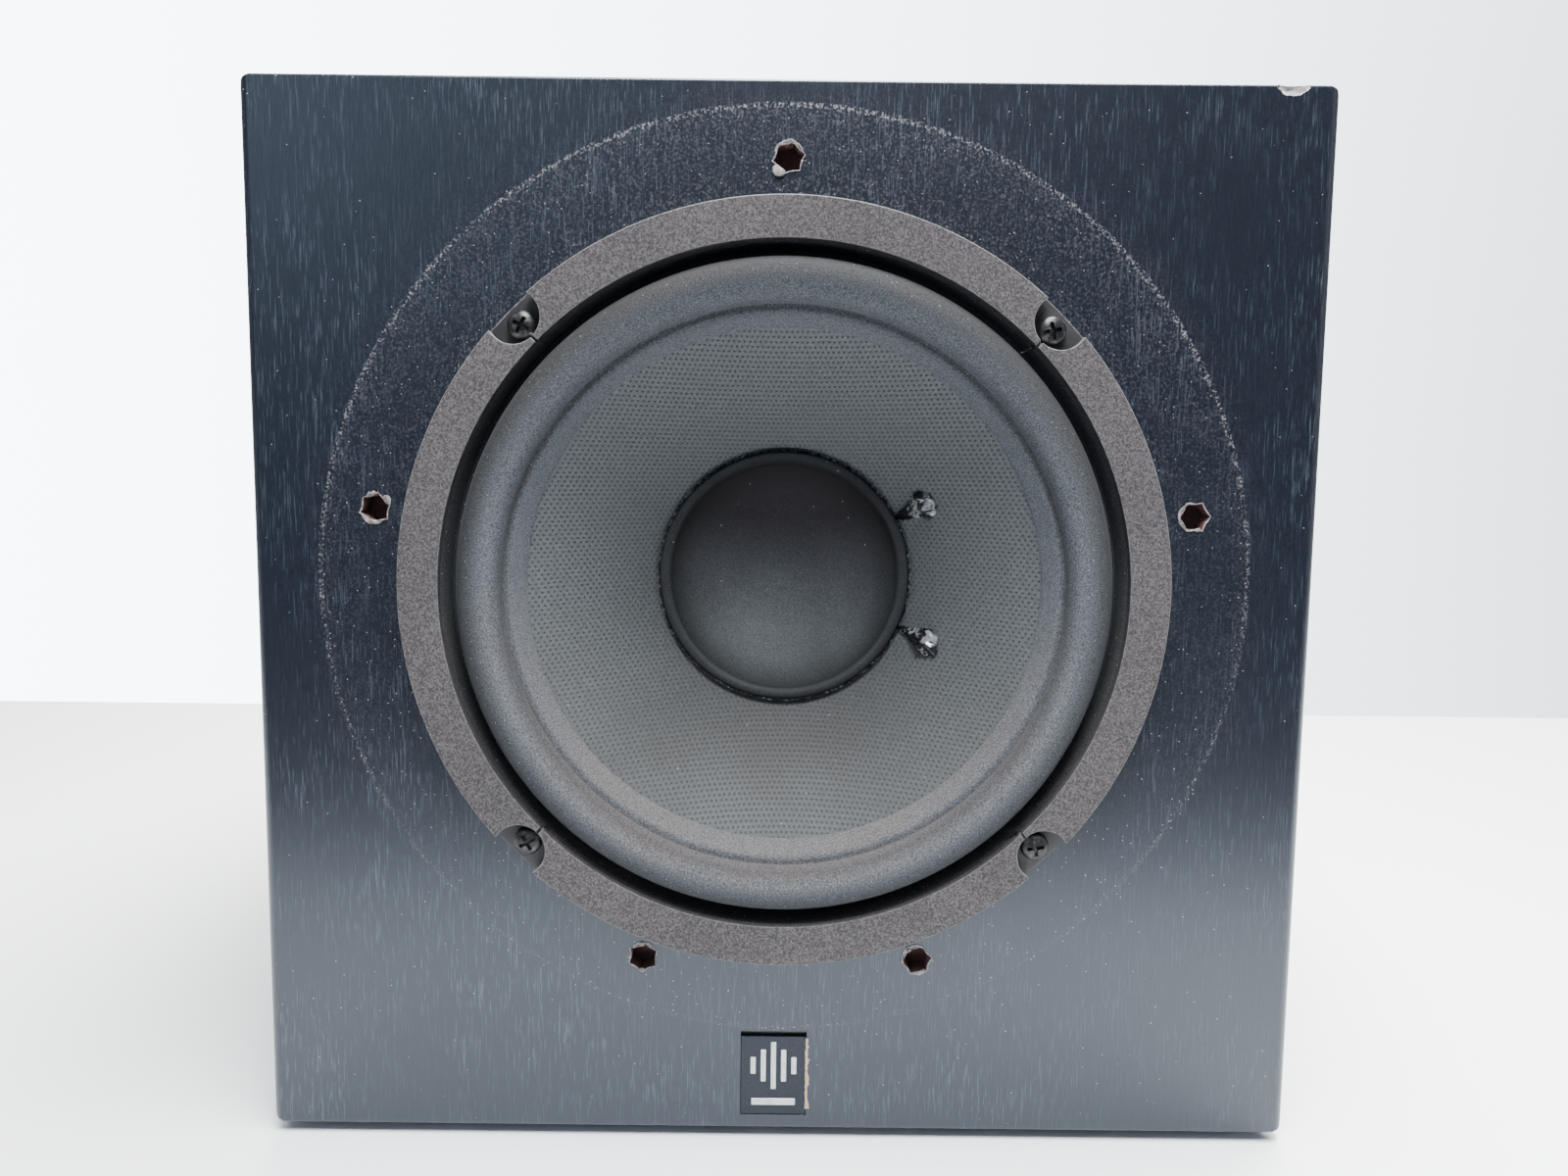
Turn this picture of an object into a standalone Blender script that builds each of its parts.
"""Powered subwoofer: a square vinyl-clad cabinet, an 8 inch driver in front and a plate amplifier behind.

Z is up and the front faces -Y. The origin is on the floor, in the middle of the whole object's plan.
Driver parts are drawn about the driver's own axis: r outwards, z forwards from the baffle's face.
Rear parts are drawn as seen from behind: u to the viewer's right, v up from the floor, w out of the back.
"""
import math

import bmesh
import bpy

mm = 0.001
gap = 0.3 * mm                      # kept between pieces that touch on the real object

# Cabinet
cabinet_width = 290 * mm
cabinet_height = 290 * mm
cabinet_depth = 300 * mm
baffle_thick = 18 * mm
wall_thick = 15 * mm
foot_height = 3 * mm
foot_radius = 12 * mm
foot_inset = 30 * mm
corner_round = 1.5 * mm
baffle_round = 3 * mm

# Driver
driver_rise = 155.2 * mm            # its axis above the cabinet's underside
flange_radius = 105 * mm
flange_chord = 103.9 * mm           # flats beside the four screws
flange_back = 1.1 * mm
flange_front = 2.3 * mm
screw_circle = 99 * mm
screw_angles = (45, 135, 225, 315)
gasket_outer = 104 * mm
gasket_inner = 93 * mm
gasket_back = 3.4 * mm
gasket_front = 6.2 * mm
notch_circle = 102 * mm
notch_radius = 7.2 * mm
slit_half = 0.4 * mm
cone_edge = 77 * mm
roll_outer = 88.7 * mm
roll_rise = 5.6 * mm
surround_thick = 0.5 * mm
inner_lift = 1.0 * mm               # the roll's inner foot above the cone's edge
lip_inner = 71.4 * mm
cone_slope = 1.08                   # depth for each unit of radius
cone_wall = 0.8 * mm
cap_radius = 38.3 * mm
ledge_depth = 72 * mm               # the spider's landing in the basket, behind the baffle's face
coil_radius = 19.5 * mm             # outside of the coil former
magnet_radius = 50 * mm
plate_radius = 45 * mm
seat_depth = ledge_depth + 10.8 * mm    # front of the basket's magnet seat
board_x = 80.2 * mm                 # the terminal board, outside the basket's right leg
board_z = -38 * mm
lug_side = 23.5 * mm
pilot_radius = 2.3 * mm             # holes for the driver's screws
plate_pilot_radius = 2.1 * mm       # holes for the amplifier plate's screws

# Grille peg sockets and badge in the baffle
peg_circle = 113 * mm
peg_rise = 1.6 * mm                 # centre of the peg circle above the driver's axis
peg_angles = (90, 10, 170, -70, -110)
peg_radius = 4.2 * mm
peg_depth = 12 * mm
badge_width = 18.8 * mm
badge_height = 25 * mm
badge_depth = 1.8 * mm
badge_shift = -1.5 * mm
badge_lift = 4 * mm

# Rear panel, seen from behind
amp_width = 160 * mm
amp_height = 236 * mm
amp_thick = 2 * mm
amp_u = 44 * mm
amp_hole_margin = 10 * mm
port_u = -83 * mm
port_v = 180 * mm
port_bore = 27.5 * mm
port_wall = 2.5 * mm
port_flange = 38 * mm
port_length = 120 * mm
sink_height = 14 * mm               # how far the fins stand out of the amplifier plate
knob_radius = 9 * mm
knob_v = 236 * mm
knob_us = {"level": 32 * mm, "cutoff": -12 * mm}
slide_v = 196 * mm
slide_us = {"phase": 32 * mm, "standby": -12 * mm}
slide_travel = {"phase": 4 * mm, "standby": 6 * mm}
jack_place = (10 * mm, 150 * mm)
rocker_place = (10 * mm, 100 * mm)
rocker_tilt = math.radians(7)
inlet_place = (10 * mm, 62 * mm)
sink_place = (86 * mm, 190 * mm)
transformer_place = (80 * mm, 74 * mm)
board_place = (44 * mm, 190 * mm)

rear_reach = gap + amp_thick + gap + sink_height
outer_foot = flange_front + gap
front_reach = (outer_foot + inner_lift) / 2 + roll_rise + surround_thick / 2
amp_face = gap + amp_thick + gap    # where a part fastened on the amplifier plate begins
front_y = -(cabinet_depth + rear_reach - front_reach) / 2
rear_y = front_y + cabinet_depth
middle_v = foot_height + cabinet_height / 2
driver_v = foot_height + driver_rise


def clear_scene():
    for obj in list(bpy.data.objects):
        bpy.data.objects.remove(obj, do_unlink=True)


def new_collection(name):
    found = bpy.data.collections.new(name)
    bpy.context.scene.collection.children.link(found)
    return found


def new_material(name, colour, roughness, metallic=0.0):
    made = bpy.data.materials.new(name)
    made.use_nodes = True
    shader = made.node_tree.nodes["Principled BSDF"]
    shader.inputs["Base Color"].default_value = (*colour, 1)
    shader.inputs["Roughness"].default_value = roughness
    shader.inputs["Metallic"].default_value = metallic
    return made


def new_empty(name, location, rotation):
    made = bpy.data.objects.new(name, None)
    made.location = location
    made.rotation_euler = rotation
    made.empty_display_size = 0.02
    parts.objects.link(made)
    return made


def add_object(name, data, material=None, parent=None, at=(0, 0, 0), turn=(0, 0, 0)):
    """A part goes in the parts; data without a material is a cutter or a helper."""
    made = bpy.data.objects.new(name, data)
    made.location = at
    made.rotation_euler = turn
    made.parent = parent
    if material is None:
        cutters.objects.link(made)
        made.hide_render = True
        made.display_type = "WIRE"
        return made
    parts.objects.link(made)
    if not data.materials:
        data.materials.append(material)
    return made


def boolean(obj, tool, operation="DIFFERENCE"):
    step = obj.modifiers.new(operation.title() + " " + tool.name, "BOOLEAN")
    step.operation = operation
    step.object = tool
    step.solver = "EXACT"


def bevel(obj, width, segments=2):
    step = obj.modifiers.new("Bevel", "BEVEL")
    step.width = width
    step.segments = segments
    step.limit_method = "ANGLE"


def smooth(mesh, angle=40):
    mesh.shade_smooth()
    mesh.set_sharp_from_angle(angle=math.radians(angle))


def block(name, size, material=None, **placing):
    """A box whose own centre is its origin."""
    mesh = bpy.data.meshes.new(name)
    shape = bmesh.new()
    bmesh.ops.create_cube(shape, size=1)
    bmesh.ops.scale(shape, vec=size, verts=shape.verts)
    shape.to_mesh(mesh)
    shape.free()
    return add_object(name, mesh, material, **placing)


def rod(name, radius, length, material=None, sides=24, **placing):
    """A cylinder along its own Z, centred on its origin."""
    mesh = bpy.data.meshes.new(name)
    shape = bmesh.new()
    bmesh.ops.create_cone(
        shape, cap_ends=True, segments=sides, radius1=radius, radius2=radius, depth=length
    )
    shape.to_mesh(mesh)
    shape.free()
    smooth(mesh)
    return add_object(name, mesh, material, **placing)


def turned(name, profile, material=None, steps=40, **placing):
    """A profile of (r, z) points, down its outer side, swept about Z."""
    mesh = bpy.data.meshes.new(name)
    last = len(profile) - 1
    edges = [(k, k + 1) for k in range(last)]
    if profile[0][0] > 0:
        edges.append((last, 0))
    mesh.from_pydata([(r, 0, z) for r, z in profile], edges, [])
    made = add_object(name, mesh, material, **placing)
    sweep = made.modifiers.new("Turn", "SCREW")
    sweep.steps = steps
    sweep.render_steps = steps
    sweep.use_merge_vertices = True
    sweep.merge_threshold = 0.00001
    sweep.use_smooth_shade = True
    return made


def flat(name, points, thickness, material, **placing):
    """An outline in its own XY plane, half its thickness to each side."""
    curve = bpy.data.curves.new(name, "CURVE")
    curve.dimensions = "2D"
    curve.fill_mode = "BOTH"
    curve.extrude = thickness / 2
    spline = curve.splines.new("POLY")
    spline.points.add(len(points) - 1)
    for point, (x, y) in zip(spline.points, points):
        point.co = (x, y, 0, 1)
    spline.use_cyclic_u = True
    return add_object(name, curve, material, **placing)


def wire(name, points, radius, material, **placing):
    curve = bpy.data.curves.new(name, "CURVE")
    curve.dimensions = "3D"
    curve.bevel_depth = radius
    curve.bevel_resolution = 1
    curve.use_fill_caps = True
    spline = curve.splines.new("POLY")
    spline.points.add(len(points) - 1)
    for point, place in zip(spline.points, points):
        point.co = (*place, 1)
    return add_object(name, curve, material, **placing)


def as_mesh(obj):
    """The same piece as a closed mesh, which a Boolean can cut."""
    bpy.context.view_layer.update()
    graph = bpy.context.evaluated_depsgraph_get()
    mesh = bpy.data.meshes.new_from_object(obj.evaluated_get(graph))
    shape = bmesh.new()
    shape.from_mesh(mesh)
    bmesh.ops.remove_doubles(shape, verts=shape.verts, dist=0.000001)
    bmesh.ops.recalc_face_normals(shape, faces=shape.faces)
    shape.to_mesh(mesh)
    shape.free()
    name = obj.name
    place = obj.matrix_world.copy()
    home = obj.users_collection[0]
    bpy.data.objects.remove(obj, do_unlink=True)
    made = bpy.data.objects.new(name, mesh)
    home.objects.link(made)
    made.matrix_world = place
    return made


def polar(radius, degrees):
    turn = math.radians(degrees)
    return (radius * math.cos(turn), radius * math.sin(turn))


def arc(centre, radius, start, end, count):
    """Points from one angle to another, both ends included."""
    found = []
    for k in range(count + 1):
        x, y = polar(radius, start + (end - start) * k / count)
        found.append((centre[0] + x, centre[1] + y))
    return found


def smooth_route(points, per_span=5):
    """Points along a Catmull-Rom curve through a route's own points."""
    ends = [points[0], *points, points[-1]]
    found = []
    for k in range(1, len(ends) - 2):
        a, b, c, d = ends[k - 1], ends[k], ends[k + 1], ends[k + 2]
        for j in range(per_span):
            t = j / per_span
            found.append(
                tuple(
                    b[i]
                    + 0.5 * t * (c[i] - a[i])
                    + t * t * (a[i] - 2.5 * b[i] + 2 * c[i] - 0.5 * d[i])
                    + 0.5 * t**3 * (3 * b[i] - 3 * c[i] + d[i] - a[i])
                    for i in range(3)
                )
            )
    found.append(tuple(points[-1]))
    return found


# ---- cabinet ----


def driver_drill(name, radius, length, place, sides=10):
    """A round cutter along the driver's axis."""
    return rod(name, radius, length, sides=sides, parent=driver_axis, at=place)


def rear_drill(name, radius, length, place, sides=24):
    """A round cutter or boss that stands out of the back."""
    return rod(name, radius, length, sides=sides, parent=rear_axis, at=place)


def make_baffle():
    size = (cabinet_width, baffle_thick, cabinet_height)
    baffle = block("front_baffle", size, vinyl, at=(0, front_y + baffle_thick / 2, middle_v))
    bevel(baffle, baffle_round)
    hole = rod("driver_hole", 92 * mm, 60 * mm, sides=48, parent=driver_axis)
    boolean(baffle, hole)
    for k, angle in enumerate(peg_angles):
        x, y = polar(peg_circle, angle)
        boolean(baffle, driver_drill(f"peg_hole_{k}", peg_radius, 2 * peg_depth, (x, y + peg_rise, 0), 16))
    for k, angle in enumerate(screw_angles):
        place = (*polar(screw_circle, angle), 0)
        boolean(baffle, driver_drill(f"pilot_{k}", pilot_radius, 30 * mm, place))
    low = foot_height + badge_lift + badge_height / 2
    recess = block(
        "badge_recess",
        (badge_width, 2 * badge_depth, badge_height),
        at=(badge_shift, front_y, low),
    )
    boolean(baffle, recess)


def wall_outline():
    """The top wall's section: mitred at both ends, its outer corners rounded. y is 0 at the cabinet's middle."""
    half = cabinet_width / 2
    slack = gap * math.sqrt(0.5)
    corner = half - corner_round
    right = arc((corner - slack, half - corner_round), corner_round, 45, 90, 3)
    left = [(-x, y) for x, y in reversed(right)]
    inside = half - wall_thick
    return right + left + [(-inside + slack, inside), (inside - slack, inside)]


def make_walls():
    depth = cabinet_depth - baffle_thick - gap
    middle_y = rear_y - depth / 2
    turns = {"top_panel": 0, "left_panel": 90, "bottom_panel": 180, "right_panel": 270}
    for name, turn in turns.items():
        flat(
            name,
            wall_outline(),
            depth,
            vinyl,
            at=(0, middle_y, middle_v),
            turn=(math.radians(90), math.radians(-turn), 0),
        )


def make_rear_panel():
    side = cabinet_width - 2 * wall_thick - 2 * gap
    place = (0, rear_y - wall_thick / 2, middle_v)
    panel = block("rear_panel", (side, wall_thick, side), vinyl, at=place)
    opening = (amp_width - 2 * amp_hole_margin, amp_height - 2 * amp_hole_margin, 60 * mm)
    boolean(panel, block("amp_hole", opening, parent=rear_axis, at=(amp_u, middle_v, 0)))
    hole_radius = port_bore + port_wall + gap
    boolean(panel, rear_drill("port_hole", hole_radius, 60 * mm, (port_u, port_v, 0), 48))
    for k, (u, v) in enumerate(amp_screw_places()):
        boolean(panel, rear_drill(f"amp_pilot_{k}", plate_pilot_radius, 26 * mm, (u, v, 0), 10))


def make_port():
    outer = port_bore + port_wall
    front = gap + 2 * mm
    flare = 8 * mm
    mouth = arc((port_bore + flare, front - flare), flare, 180, 96, 4)
    profile = [
        (port_flange - 0.6 * mm, front),
        (port_flange, front - 0.6 * mm),
        (port_flange, gap),
        (outer, gap),
        (outer, front - port_length),
        (port_bore, front - port_length),
        *mouth,
    ]
    turned("port_tube", profile, plastic, parent=rear_axis, at=(port_u, port_v, 0))


def make_feet():
    top = foot_height - gap
    profile = [
        (0, top),
        (foot_radius, top),
        (foot_radius - 1 * mm, 0.4 * mm),
        (foot_radius - 1.6 * mm, 0),
        (0, 0),
    ]
    across = cabinet_width / 2 - foot_inset
    places = {
        "foot_front_left": (-across, front_y + foot_inset),
        "foot_front_right": (across, front_y + foot_inset),
        "foot_rear_left": (-across, rear_y - foot_inset),
        "foot_rear_right": (across, rear_y - foot_inset),
    }
    for name, (x, y) in places.items():
        turned(name, profile, rubber, steps=24, at=(x, y, 0))


def make_badge():
    thick = 1.2 * mm
    size = (badge_width - 2 * gap, thick, badge_height - 2 * gap)
    depth = front_y + badge_depth - gap - thick / 2
    place = (badge_shift, depth, foot_height + badge_lift + badge_height / 2)
    block("badge_plate", size, plastic, at=place)


def make_wadding():
    """One sheet folded along the left, top and right walls."""
    out = cabinet_width / 2 - wall_thick - 1 * mm
    thick = 16 * mm
    length = 130 * mm
    start = 33 * mm
    low = -out + 6 * mm
    inner = out - thick
    outline = [
        (out, low),
        (out, out),
        (-out, out),
        (-out, low),
        (-inner, low),
        (-inner, inner),
        (inner, inner),
        (inner, low),
    ]
    place = (0, front_y + start + length / 2, middle_v)
    flat("wadding", outline, length, wool, at=place, turn=(math.radians(90), 0, 0))


# ---- driver, drawn about its axis with z forwards ----


def cone_z(radius):
    """Height of the cone's front face at a radius."""
    return -(cone_edge - radius) * cone_slope


def make_basket():
    steel = 1.2 * mm
    seat = -seat_depth
    ledge = -ledge_depth
    outer = [
        (flange_radius, flange_front),
        (flange_radius, flange_back),
        (90 * mm, flange_back),
        (89.2 * mm, -12 * mm),
        (85 * mm, -15 * mm),
        (64 * mm, ledge + 2 * mm),
        (62 * mm, ledge - 1.5 * mm),
        (54 * mm, ledge - 2 * mm),
        (50 * mm, seat - steel),
        (24 * mm, seat - steel),
    ]
    inner = [
        (24 * mm, seat),
        (49.4 * mm, seat),
        (53.2 * mm, ledge - 0.8 * mm),
        (61.4 * mm, ledge - 0.3 * mm),
        (62.8 * mm, ledge + 2.6 * mm),
        (83.8 * mm, -14.4 * mm),
        (88 * mm, -11.6 * mm),
        (88.7 * mm, flange_front),
    ]
    basket = turned("basket", outer + inner, steel_paint, parent=driver_axis)
    for k in range(4):
        angle = 45 + 90 * k
        window = block(
            f"basket_window_{k}",
            (44 * mm, 74 * mm, 42 * mm),
            parent=driver_axis,
            at=(*polar(84 * mm, angle), -42 * mm),
            turn=(0, 0, math.radians(angle)),
        )
        boolean(basket, window)
        chord = block(
            f"flange_flat_{k}",
            (10 * mm, 60 * mm, 10 * mm),
            parent=driver_axis,
            at=(*polar(flange_chord + 5 * mm, angle), 2 * mm),
            turn=(0, 0, math.radians(angle)),
        )
        boolean(basket, chord)
        place = (*polar(screw_circle, angle), 0)
        boolean(basket, driver_drill(f"flange_hole_{k}", pilot_radius, 20 * mm, place))


def make_gaskets():
    back = [(102.5 * mm, 0.8 * mm), (102.5 * mm, gap), (94 * mm, gap), (94 * mm, 0.8 * mm)]
    ring = turned("rear_gasket", back, foam, parent=driver_axis)
    for k, angle in enumerate(screw_angles):
        place = (*polar(screw_circle, angle), 0)
        boolean(ring, driver_drill(f"gasket_hole_{k}", pilot_radius + gap, 20 * mm, place))
    names = ("gasket_right", "gasket_top", "gasket_left", "gasket_bottom")
    middle_z = (gasket_back + gasket_front) / 2
    notches = []
    for k, angle in enumerate(screw_angles):
        place = (*polar(notch_circle, angle), 5 * mm)
        notches.append(driver_drill(f"notch_{k}", notch_radius, 20 * mm, place, 24))
    for k, name in enumerate(names):
        outer_slit = math.degrees(slit_half / gasket_outer)
        inner_slit = math.degrees(slit_half / gasket_inner)
        start = 90 * k - 45
        outer = arc((0, 0), gasket_outer, start + outer_slit, start + 90 - outer_slit, 14)
        inner = arc((0, 0), gasket_inner, start + 90 - inner_slit, start + inner_slit, 14)
        thick = gasket_front - gasket_back
        segment = flat(name, outer + inner, thick, felt, parent=driver_axis, at=(0, 0, middle_z))
        piece = as_mesh(segment)
        boolean(piece, notches[(k - 1) % 4])
        boolean(piece, notches[k])


def make_driver_screws():
    seat = gasket_back
    head = 2.2 * mm
    profile = [
        (0, seat + head),
        (1.6 * mm, seat + head - 0.1 * mm),
        (3.2 * mm, seat + head - 0.9 * mm),
        (3.9 * mm, seat + 0.4 * mm),
        (3.9 * mm, seat),
        (1.9 * mm, seat),
        (1.9 * mm, -12 * mm),
        (0, -14 * mm),
    ]
    names = ("upper_right", "upper_left", "lower_left", "lower_right")
    for name, angle in zip(names, screw_angles):
        place = (*polar(screw_circle, angle), 0)
        turned(f"driver_screw_{name}", profile, black_screw, steps=12, parent=driver_axis, at=place)


def make_surround():
    """Outer lip under the gasket, a half roll, and an inner lip that lies on the cone."""
    thick = surround_thick
    edge = 96 * mm
    centre = (roll_outer + cone_edge) / 2
    half = (roll_outer - cone_edge) / 2
    spans = 8

    def roll(k, lift):
        turn = math.pi * k / spans
        base = outer_foot + (inner_lift - outer_foot) * k / spans
        return (centre + (half + lift) * math.cos(turn), base + (roll_rise + lift) * math.sin(turn))

    over = [roll(k, thick / 2) for k in range(1, spans)]
    under = [roll(k, -thick / 2) for k in range(1, spans)]
    lip = cone_z(lip_inner) + 0.45 * mm
    front = [
        (edge, outer_foot + thick),
        (roll_outer + 1.3 * mm, outer_foot + thick),
        *over,
        (cone_edge, inner_lift + thick),
        (lip_inner, lip + thick),
    ]
    back = [
        (lip_inner, lip),
        (cone_edge, inner_lift - 0.15 * mm),
        *reversed(under),
        (roll_outer + 0.3 * mm, outer_foot),
        (edge, outer_foot),
    ]
    # this section is drawn inwards along its front, so the other way round runs down the outer side
    turned("surround", list(reversed(front + back)), foam_skin, parent=driver_axis)


def make_cone():
    neck = coil_radius + gap
    rim = cone_edge - 0.2 * mm
    profile = [
        (rim, cone_z(rim)),
        (rim, cone_z(rim) - cone_wall),
        (neck + 3 * mm, cone_z(neck + 3 * mm) - cone_wall),
        (neck, cone_z(neck + 3 * mm) - cone_wall - 2.4 * mm),
        (neck, cone_z(neck)),
    ]
    turned("cone", profile, cone_skin, steps=48, parent=cone_axis)


def make_dust_cap():
    """A skirt on the cone, a rounded rim, and a dished middle."""
    rim = cone_z(cap_radius) + 3.4 * mm
    wall = 0.8 * mm
    dish_radius = 34.7 * mm
    dish_depth = 9.5 * mm
    dish = []
    spans = 5
    for k in range(spans + 1):
        r = dish_radius * k / spans
        dish.append((r, rim - 0.4 * mm - dish_depth * (1 - (r / dish_radius) ** 2)))
    under = [(r * 0.995, z - wall) for r, z in dish]
    skirt = cone_z(cap_radius) + 0.4 * mm
    profile = [
        *dish,
        (35.3 * mm, rim),
        (37.1 * mm, rim),
        (37.8 * mm, rim - 0.5 * mm),
        (cap_radius, skirt),
        (37.4 * mm, skirt - 0.1 * mm),
        (36.9 * mm, rim - 1.3 * mm),
        *reversed(under),
    ]
    turned("dust_cap", profile, cap_skin, parent=cone_axis)


def make_coil():
    top = 14 * mm - ledge_depth
    foot = -24 * mm - ledge_depth
    inner = coil_radius - 0.5 * mm
    former = [(coil_radius, top), (coil_radius, foot), (inner, foot), (inner, top)]
    turned("coil_former", former, kraft, parent=cone_axis)
    near = coil_radius + 0.1 * mm
    far = near + 1.1 * mm
    coil_top = top - 20 * mm
    coil_foot = foot + 0.4 * mm
    coil = [(far, coil_top), (far, coil_foot), (near, coil_foot), (near, coil_top)]
    turned("voice_coil", coil, copper, parent=cone_axis)


def make_spider():
    """A corrugated cloth disc from the coil former to the basket's inner ledge."""
    ledge = -ledge_depth
    thick = 0.6 * mm
    inner = coil_radius + gap
    start = 24 * mm
    end = 52.5 * mm
    waves = 3
    front = [(inner, ledge + 3 * mm), (inner + 0.7 * mm, ledge + 0.8 * mm)]
    steps = waves * 4
    for k in range(steps + 1):
        r = start + (end - start) * k / steps
        front.append((r, ledge + 0.8 * mm + 1.3 * mm * math.sin(2 * math.pi * k / 4)))
    front.append((54 * mm, ledge + thick))
    front.append((61 * mm, ledge + thick))
    back = [(61 * mm, ledge), (54 * mm, ledge)]
    back += [(r, z - thick) for r, z in reversed(front[2:-2])]
    back += [(inner, ledge + 0.8 * mm - thick)]
    turned("spider", front + back, cloth, steps=32, parent=driver_axis)


def make_magnet():
    top = -(seat_depth + 1.2 * mm + gap)
    plate = 5.7 * mm
    ring = 17 * mm
    ring_top = top - plate - gap
    yoke_top = ring_top - ring - gap
    hole = 21.5 * mm
    front = [(plate_radius, top), (plate_radius, top - plate), (hole, top - plate), (hole, top)]
    turned("top_plate", front, zinc, parent=driver_axis)
    ferrite_hole = 25 * mm
    body = [
        (magnet_radius, ring_top),
        (magnet_radius, ring_top - ring),
        (ferrite_hole, ring_top - ring),
        (ferrite_hole, ring_top),
    ]
    turned("magnet", body, ferrite, parent=driver_axis)
    vent = 5 * mm
    pole = coil_radius - 1.3 * mm
    yoke = [
        (pole, top),
        (pole, yoke_top),
        (plate_radius, yoke_top),
        (plate_radius, yoke_top - 6 * mm),
        (vent, yoke_top - 6 * mm),
        (vent, top),
    ]
    turned("yoke", yoke, zinc, parent=driver_axis)


def make_terminal_board():
    """A strip across a leg of the basket, with a lug for each lead at its ends."""
    size = (1.6 * mm, 2 * lug_side + 8 * mm, 12 * mm)
    middle = (board_x, 0, board_z)
    board = block("terminal_board", size, board_brown, parent=driver_axis, at=middle)
    for k, side in enumerate((-1, 1)):
        place = (board_x, side * lug_side, board_z)
        lug = block(f"lug_{k}", (5 * mm, 5 * mm, 0.8 * mm), parent=driver_axis, at=place)
        boolean(board, lug, "UNION")
    on_leg = (board_x - 0.9 * mm, 0, board_z)
    pad = block("leg_pad", (1.6 * mm, 14 * mm, 6 * mm), parent=driver_axis, at=on_leg)
    boolean(board, pad, "UNION")


def make_leads():
    """Flexible leads from the back of the cone to the lugs, and the wires on from there to the amplifier."""
    joint_radius = 44 * mm
    for name, side in (("lead_upper", 1), ("lead_lower", -1)):
        x, y = polar(joint_radius, 25 * side)
        start = cone_z(joint_radius) - cone_wall - 1.6 * mm
        points = [
            (x, y, start),
            (x + 5 * mm, y, start - 7 * mm),
            (x + 18 * mm, y, start - 12 * mm),
            (board_x - 3 * mm, side * lug_side, board_z),
        ]
        wire(name, smooth_route(points), 0.8 * mm, braid, parent=driver_axis)
    for name, side, colour in (("wire_plus", 1, wire_red), ("wire_minus", -1, wire_black)):
        points = [
            (board_x + 3 * mm, side * lug_side, board_z),
            (90 * mm, side * 20 * mm, -50 * mm),
            (92 * mm, side * 12 * mm, -90 * mm),
            (70 * mm, side * 4 * mm + 10 * mm, -140 * mm),
            (25 * mm, side * 3 * mm + 30 * mm, -200 * mm),
            (-6 * mm, side * 3 * mm + 40 * mm, -cabinet_depth + 30 * mm),
            (-10 * mm, side * 3 * mm + 40 * mm, -cabinet_depth + 16.6 * mm),
        ]
        wire(name, smooth_route(points), 1.1 * mm, colour, parent=driver_axis)


# ---- amplifier, drawn as seen from behind ----


corners = ((-1, -1), (1, -1), (1, 1), (-1, 1))


def amp_screw_places():
    across = amp_width / 2 - 5 * mm
    up = amp_height / 2 - 5 * mm
    return [(amp_u + a * across, middle_v + b * up) for a, b in corners]


def make_amp_plate():
    size = (amp_width, amp_height, amp_thick)
    middle = (amp_u, middle_v, gap + amp_thick / 2)
    plate = block("amp_plate", size, black_steel, parent=rear_axis, at=middle)
    deep = 20 * mm
    for name, u in knob_us.items():
        boolean(plate, rear_drill(f"{name}_hole", 3.7 * mm, deep, (u, knob_v, 0)))
    slots = [(f"{name}_slot", 9 * mm, 14 * mm, u, slide_v) for name, u in slide_us.items()]
    slots.append(("rocker_slot", 20 * mm, 14 * mm, *rocker_place))
    slots.append(("inlet_slot", 23 * mm, 15 * mm, *inlet_place))
    slots.append(("jack_slot", 40 * mm, 16 * mm, *jack_place))
    for name, width, height, u, v in slots:
        boolean(plate, block(name, (width, height, deep), parent=rear_axis, at=(u, v, 0)))
    for k, (u, v) in enumerate(amp_screw_places()):
        boolean(plate, rear_drill(f"plate_hole_{k}", plate_pilot_radius, deep, (u, v, 0), 10))


def make_amp_screws():
    seat = amp_face
    profile = [
        (0, seat + 1.9 * mm),
        (2.4 * mm, seat + 1.4 * mm),
        (3.5 * mm, seat + 0.4 * mm),
        (3.5 * mm, seat),
        (1.7 * mm, seat),
        (1.7 * mm, -8 * mm),
        (0, -9.6 * mm),
    ]
    for k, (u, v) in enumerate(amp_screw_places()):
        turned(f"amp_screw_{k + 1}", profile, black_screw, steps=12, parent=rear_axis, at=(u, v, 0))


def make_heat_sink():
    """An extruded comb of fins, its section drawn across and its length upright."""
    width = 56 * mm
    length = 120 * mm
    base = 3.5 * mm
    fins = 9
    fin = 1.8 * mm
    pitch = (width - fin) / (fins - 1)
    outline = [(-width / 2, 0), (width / 2, 0)]
    for k in range(fins - 1, -1, -1):
        left = -width / 2 + pitch * k
        outline += [(left + fin, base), (left + fin, sink_height), (left, sink_height), (left, base)]
    outline = outline[:2] + outline[3:-1]
    place = (*sink_place, amp_face)
    upright = (math.radians(90), 0, math.radians(180))
    flat("heat_sink", outline, length, black_alu, parent=rear_axis, at=place, turn=upright)


def make_transformer():
    centre = (*transformer_place, -32 * mm)
    size = (60 * mm, 50 * mm, 26 * mm)
    core = block("transformer_core", size, lamination, parent=rear_axis, at=centre)
    window = (10 * mm, 30 * mm, 40 * mm)
    for k, side in enumerate((-1, 1)):
        place = (centre[0] + side * 15 * mm, centre[1], centre[2])
        boolean(core, block(f"core_window_{k}", window, parent=rear_axis, at=place))
    size = (39.4 * mm, 29.4 * mm, 42 * mm)
    winding = block("transformer_winding", size, tape, parent=rear_axis, at=centre)
    bevel(winding, 2 * mm, 1)
    leg = (20.6 * mm, 60 * mm, 26.6 * mm)
    boolean(winding, block("winding_hole", leg, parent=rear_axis, at=centre))


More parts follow.
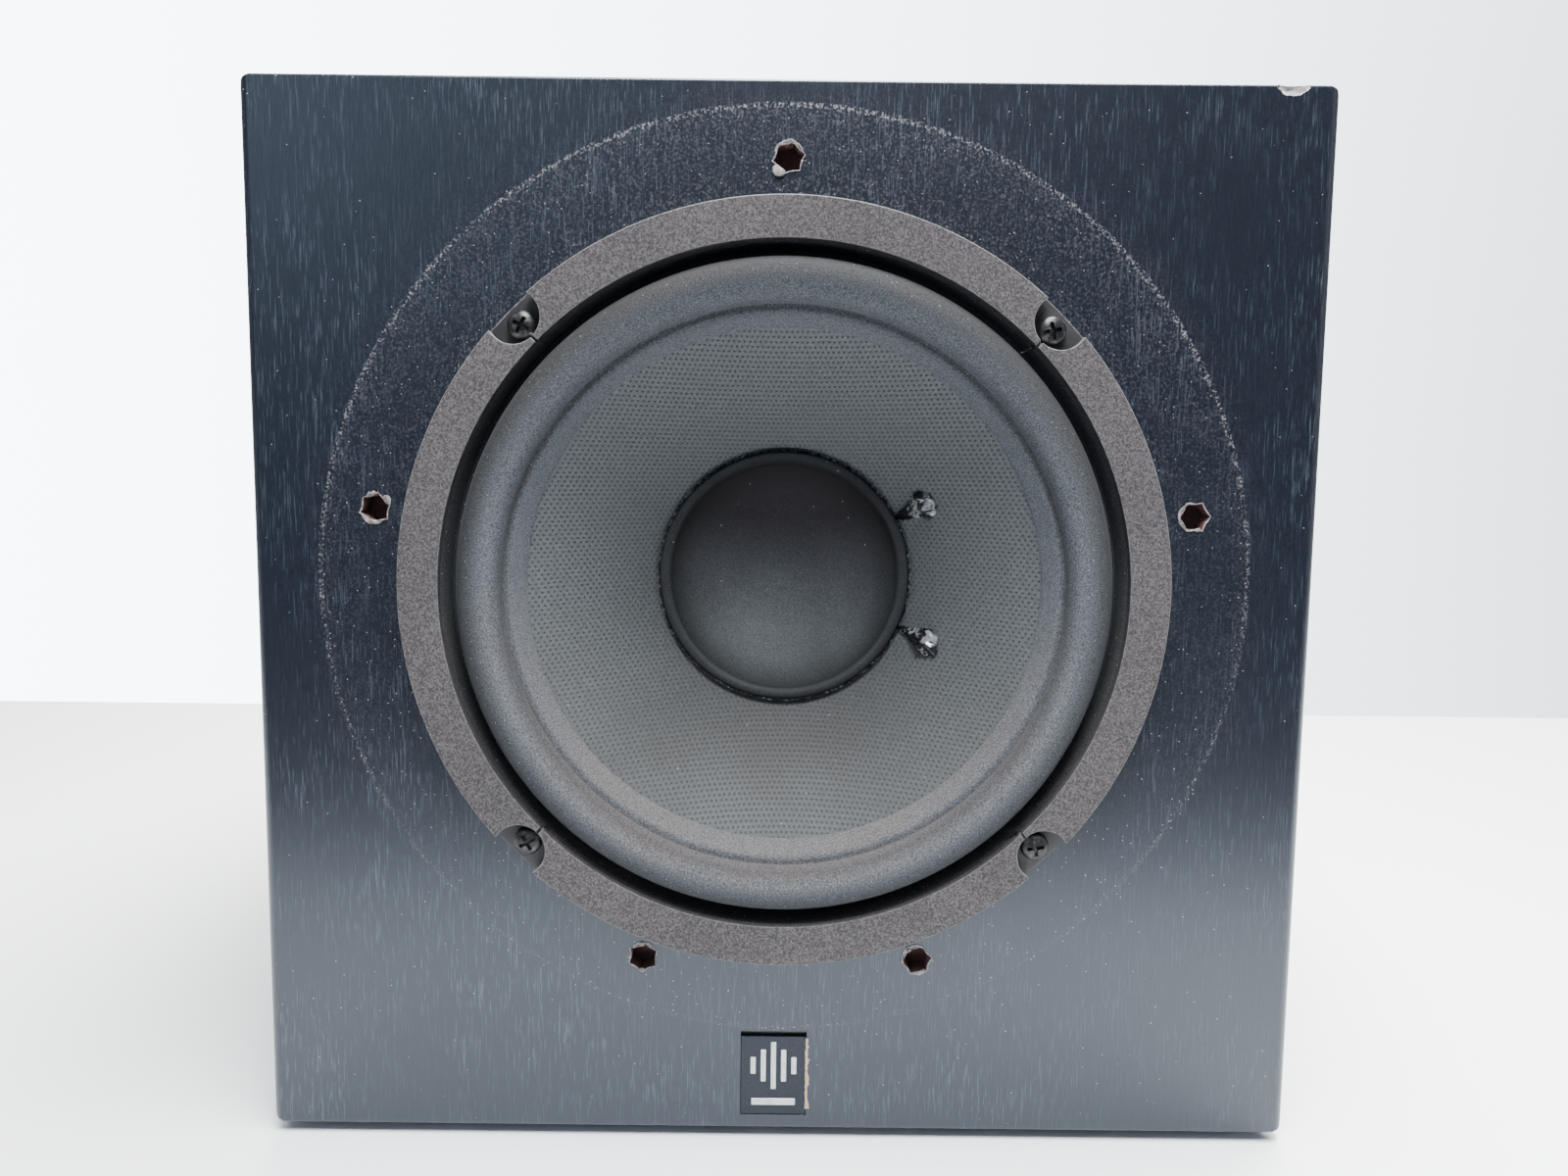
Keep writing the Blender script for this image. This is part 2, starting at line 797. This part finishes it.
def make_circuit_board():
    width = 124 * mm
    height = 126 * mm
    centre = (*board_place, -15.2 * mm)
    size = (width, height, 1.6 * mm)
    board = block("circuit_board", size, board_green, parent=rear_axis, at=centre)
    across = width / 2 - 4 * mm
    up = height / 2 - 4 * mm
    for k, (a, b) in enumerate(corners):
        place = (centre[0] + a * across, centre[1] + b * up, centre[2])
        boolean(board, rear_drill(f"board_hole_{k}", 1.6 * mm, 6 * mm, place, 8))
    for k, u in enumerate((20 * mm, 44 * mm)):
        profile = [
            (0, -0.3 * mm),
            (8.6 * mm, -0.3 * mm),
            (9 * mm, -1 * mm),
            (9 * mm, -29 * mm),
            (8.4 * mm, -30 * mm),
            (0, -30 * mm),
        ]
        place = (amp_u + u, 150 * mm, -16 * mm)
        turned(f"capacitor_{k + 1}", profile, can_sleeve, steps=24, parent=rear_axis, at=place)


def make_knobs():
    """Each knob is one piece with its shaft, which turns in the pot behind the plate."""
    skirt = amp_face + 0.9 * mm
    size = (16 * mm, 18 * mm, 9 * mm)
    for name, u in knob_us.items():
        place = (u, knob_v, -5.4 * mm)
        pot = block(f"{name}_pot", size, pot_case, parent=rear_axis, at=place)
        boolean(pot, rear_drill(f"{name}_pot_hole", 3.3 * mm, 12 * mm, (u, knob_v, 0)))
        centre = new_empty(f"{name}_knob_axis", (u, knob_v, 0), (0, 0, 0))
        centre.parent = rear_axis
        profile = [
            (0, skirt + 11 * mm),
            (knob_radius - 1.4 * mm, skirt + 11 * mm),
            (knob_radius - 0.6 * mm, skirt + 10.2 * mm),
            (knob_radius, skirt),
            (3 * mm, skirt),
            (3 * mm, -5 * mm),
            (0, -5 * mm),
        ]
        knob = turned(f"{name}_knob", profile, knob_black, steps=32, parent=centre)
        mark = block(
            f"{name}_mark",
            (1.2 * mm, knob_radius, 1.6 * mm),
            parent=centre,
            at=(0, knob_radius / 2 + 1 * mm, skirt + 11 * mm),
        )
        boolean(knob, mark)


def make_slides():
    """A frame on the plate with a slot, and the slider that runs down it."""
    seat = amp_face
    for name, u in slide_us.items():
        middle = seat + 0.7 * mm
        size = (14 * mm, 20 * mm, 1.4 * mm)
        body = block(f"{name}_switch", size, plastic, parent=rear_axis, at=(u, slide_v, middle))
        size = (8.2 * mm, 13.2 * mm, 10 * mm)
        case = block(f"{name}_case", size, parent=rear_axis, at=(u, slide_v, seat - 4 * mm))
        boolean(body, case, "UNION")
        size = (4.6 * mm, slide_travel[name] + 4.6 * mm, 8 * mm)
        well = block(f"{name}_well", size, parent=rear_axis, at=(u, slide_v, seat + 2 * mm))
        boolean(body, well)
        start = slide_v + slide_travel[name] / 2
        size = (4 * mm, 4 * mm, 4.4 * mm)
        block(f"{name}_slider", size, slider_grey, parent=rear_axis, at=(u, start, middle))


def make_rocker():
    """A framed rocker that rests with its left end pressed in."""
    seat = amp_face
    u, v = rocker_place
    size = (24 * mm, 17 * mm, 2 * mm)
    frame = block("power_switch", size, plastic, parent=rear_axis, at=(u, v, seat + 1 * mm))
    size = (19 * mm, 13 * mm, 16 * mm)
    case = block("power_case", size, parent=rear_axis, at=(u, v, seat - 7 * mm))
    boolean(frame, case, "UNION")
    size = (17.4 * mm, 10.6 * mm, 16 * mm)
    boolean(frame, block("power_well", size, parent=rear_axis, at=(u, v, seat + 2.4 * mm)))
    axis = new_empty("rocker_axis", (u, v, seat - 0.4 * mm), (0, 0, 0))
    axis.parent = rear_axis
    half = 8.2 * mm
    low = -1.4 * mm
    high = 3 * mm
    outline = [(-half, low), (half, low), (half, high), (0, 2 * mm), (-half, high)]
    across = math.cos(rocker_tilt)
    along = math.sin(rocker_tilt)
    leaned = [(x * across - y * along, x * along + y * across) for x, y in outline]
    flat("power_rocker", leaned, 10 * mm, knob_black, parent=axis, turn=(math.radians(90), 0, 0))


def make_inlet():
    """A two-pin mains inlet: its recess and the two pins in it."""
    seat = amp_face
    u, v = inlet_place
    size = (32 * mm, 20 * mm, 2.2 * mm)
    body = block("mains_inlet", size, plastic, parent=rear_axis, at=(u, v, seat + 1.1 * mm))
    size = (22 * mm, 14 * mm, 20 * mm)
    case = block("inlet_case", size, parent=rear_axis, at=(u, v, seat - 9 * mm))
    boolean(body, case, "UNION")
    size = (17.6 * mm, 9.2 * mm, 16 * mm)
    boolean(body, block("inlet_well", size, parent=rear_axis, at=(u, v, seat - 3.8 * mm)))
    for k, side in enumerate((-1, 1)):
        place = (u + side * 5 * mm, v, seat - 8.5 * mm)
        boolean(body, rear_drill(f"inlet_pin_{k}", 1.1 * mm, 10 * mm, place, 10), "UNION")


def make_jacks():
    """A moulded strip with two phono sockets."""
    seat = amp_face
    u, v = jack_place
    size = (46 * mm, 20 * mm, 1.6 * mm)
    strip = block("input_jacks", size, plastic, parent=rear_axis, at=(u, v, seat + 0.8 * mm))
    size = (38 * mm, 14 * mm, 12 * mm)
    case = block("jack_case", size, parent=rear_axis, at=(u, v, seat - 5 * mm))
    boolean(strip, case, "UNION")
    for k, side in enumerate((-1, 1)):
        x = u + side * 10 * mm
        boolean(strip, rear_drill(f"jack_{k}", 4.2 * mm, 18 * mm, (x, v, seat)), "UNION")
        bore = rear_drill(f"jack_bore_{k}", 1.7 * mm, 26 * mm, (x, v, seat + 8 * mm), 12)
        boolean(strip, bore)


clear_scene()
parts = new_collection("subwoofer")
cutters = new_collection("cutters")
driver_axis = new_empty("driver_axis", (0, front_y, driver_v), (math.radians(90), 0, 0))
cone_axis = new_empty("cone_axis", (0, front_y, driver_v), (math.radians(90), 0, 0))
rear_axis = new_empty("rear_axis", (0, rear_y, 0), (math.radians(90), 0, math.radians(180)))

vinyl = new_material("black_ash_vinyl", (0.022, 0.025, 0.032), 0.42)
plastic = new_material("black_plastic", (0.018, 0.018, 0.019), 0.45)
rubber = new_material("foot_rubber", (0.02, 0.02, 0.02), 0.8)
wool = new_material("wadding_wool", (0.78, 0.76, 0.70), 0.95)
steel_paint = new_material("basket_paint", (0.02, 0.02, 0.022), 0.5)
foam = new_material("seal_foam", (0.03, 0.03, 0.03), 0.9)
felt = new_material("gasket_board", (0.095, 0.088, 0.086), 0.9)
black_screw = new_material("blackened_screw", (0.02, 0.02, 0.02), 0.4, 0.8)
foam_skin = new_material("surround_rubber", (0.07, 0.075, 0.085), 0.8)
cone_skin = new_material("cone_weave", (0.065, 0.072, 0.072), 0.75)
cap_skin = new_material("cap_skin", (0.05, 0.055, 0.062), 0.6)
kraft = new_material("former_foil", (0.55, 0.53, 0.48), 0.5, 0.3)
copper = new_material("coil_copper", (0.55, 0.25, 0.12), 0.35, 0.9)
cloth = new_material("spider_cloth", (0.42, 0.28, 0.12), 0.9)
zinc = new_material("zinc_plate", (0.55, 0.54, 0.48), 0.35, 0.9)
ferrite = new_material("ferrite", (0.05, 0.05, 0.053), 0.7)
board_brown = new_material("terminal_board", (0.25, 0.12, 0.05), 0.6)
braid = new_material("copper_braid", (0.5, 0.26, 0.14), 0.5, 0.8)
wire_red = new_material("wire_red", (0.45, 0.02, 0.02), 0.5)
wire_black = new_material("wire_black", (0.02, 0.02, 0.02), 0.5)
black_steel = new_material("plate_paint", (0.02, 0.02, 0.021), 0.5)
black_alu = new_material("black_anodised", (0.025, 0.025, 0.027), 0.4, 0.6)
lamination = new_material("core_iron", (0.18, 0.17, 0.16), 0.5, 0.6)
tape = new_material("winding_tape", (0.65, 0.5, 0.08), 0.5)
board_green = new_material("circuit_board", (0.02, 0.12, 0.05), 0.45)
can_sleeve = new_material("capacitor_sleeve", (0.02, 0.03, 0.1), 0.4)
pot_case = new_material("pot_case", (0.5, 0.5, 0.48), 0.4, 0.8)
knob_black = new_material("knob_plastic", (0.015, 0.015, 0.016), 0.35)
slider_grey = new_material("slider_plastic", (0.3, 0.3, 0.3), 0.5)

make_baffle()
make_walls()
make_rear_panel()
make_port()
make_feet()
make_badge()
make_wadding()
make_basket()
make_gaskets()
make_driver_screws()
make_surround()
make_cone()
make_dust_cap()
make_coil()
make_spider()
make_magnet()
make_terminal_board()
make_leads()
make_amp_plate()
make_amp_screws()
make_heat_sink()
make_transformer()
make_circuit_board()
make_knobs()
make_slides()
make_rocker()
make_inlet()
make_jacks()
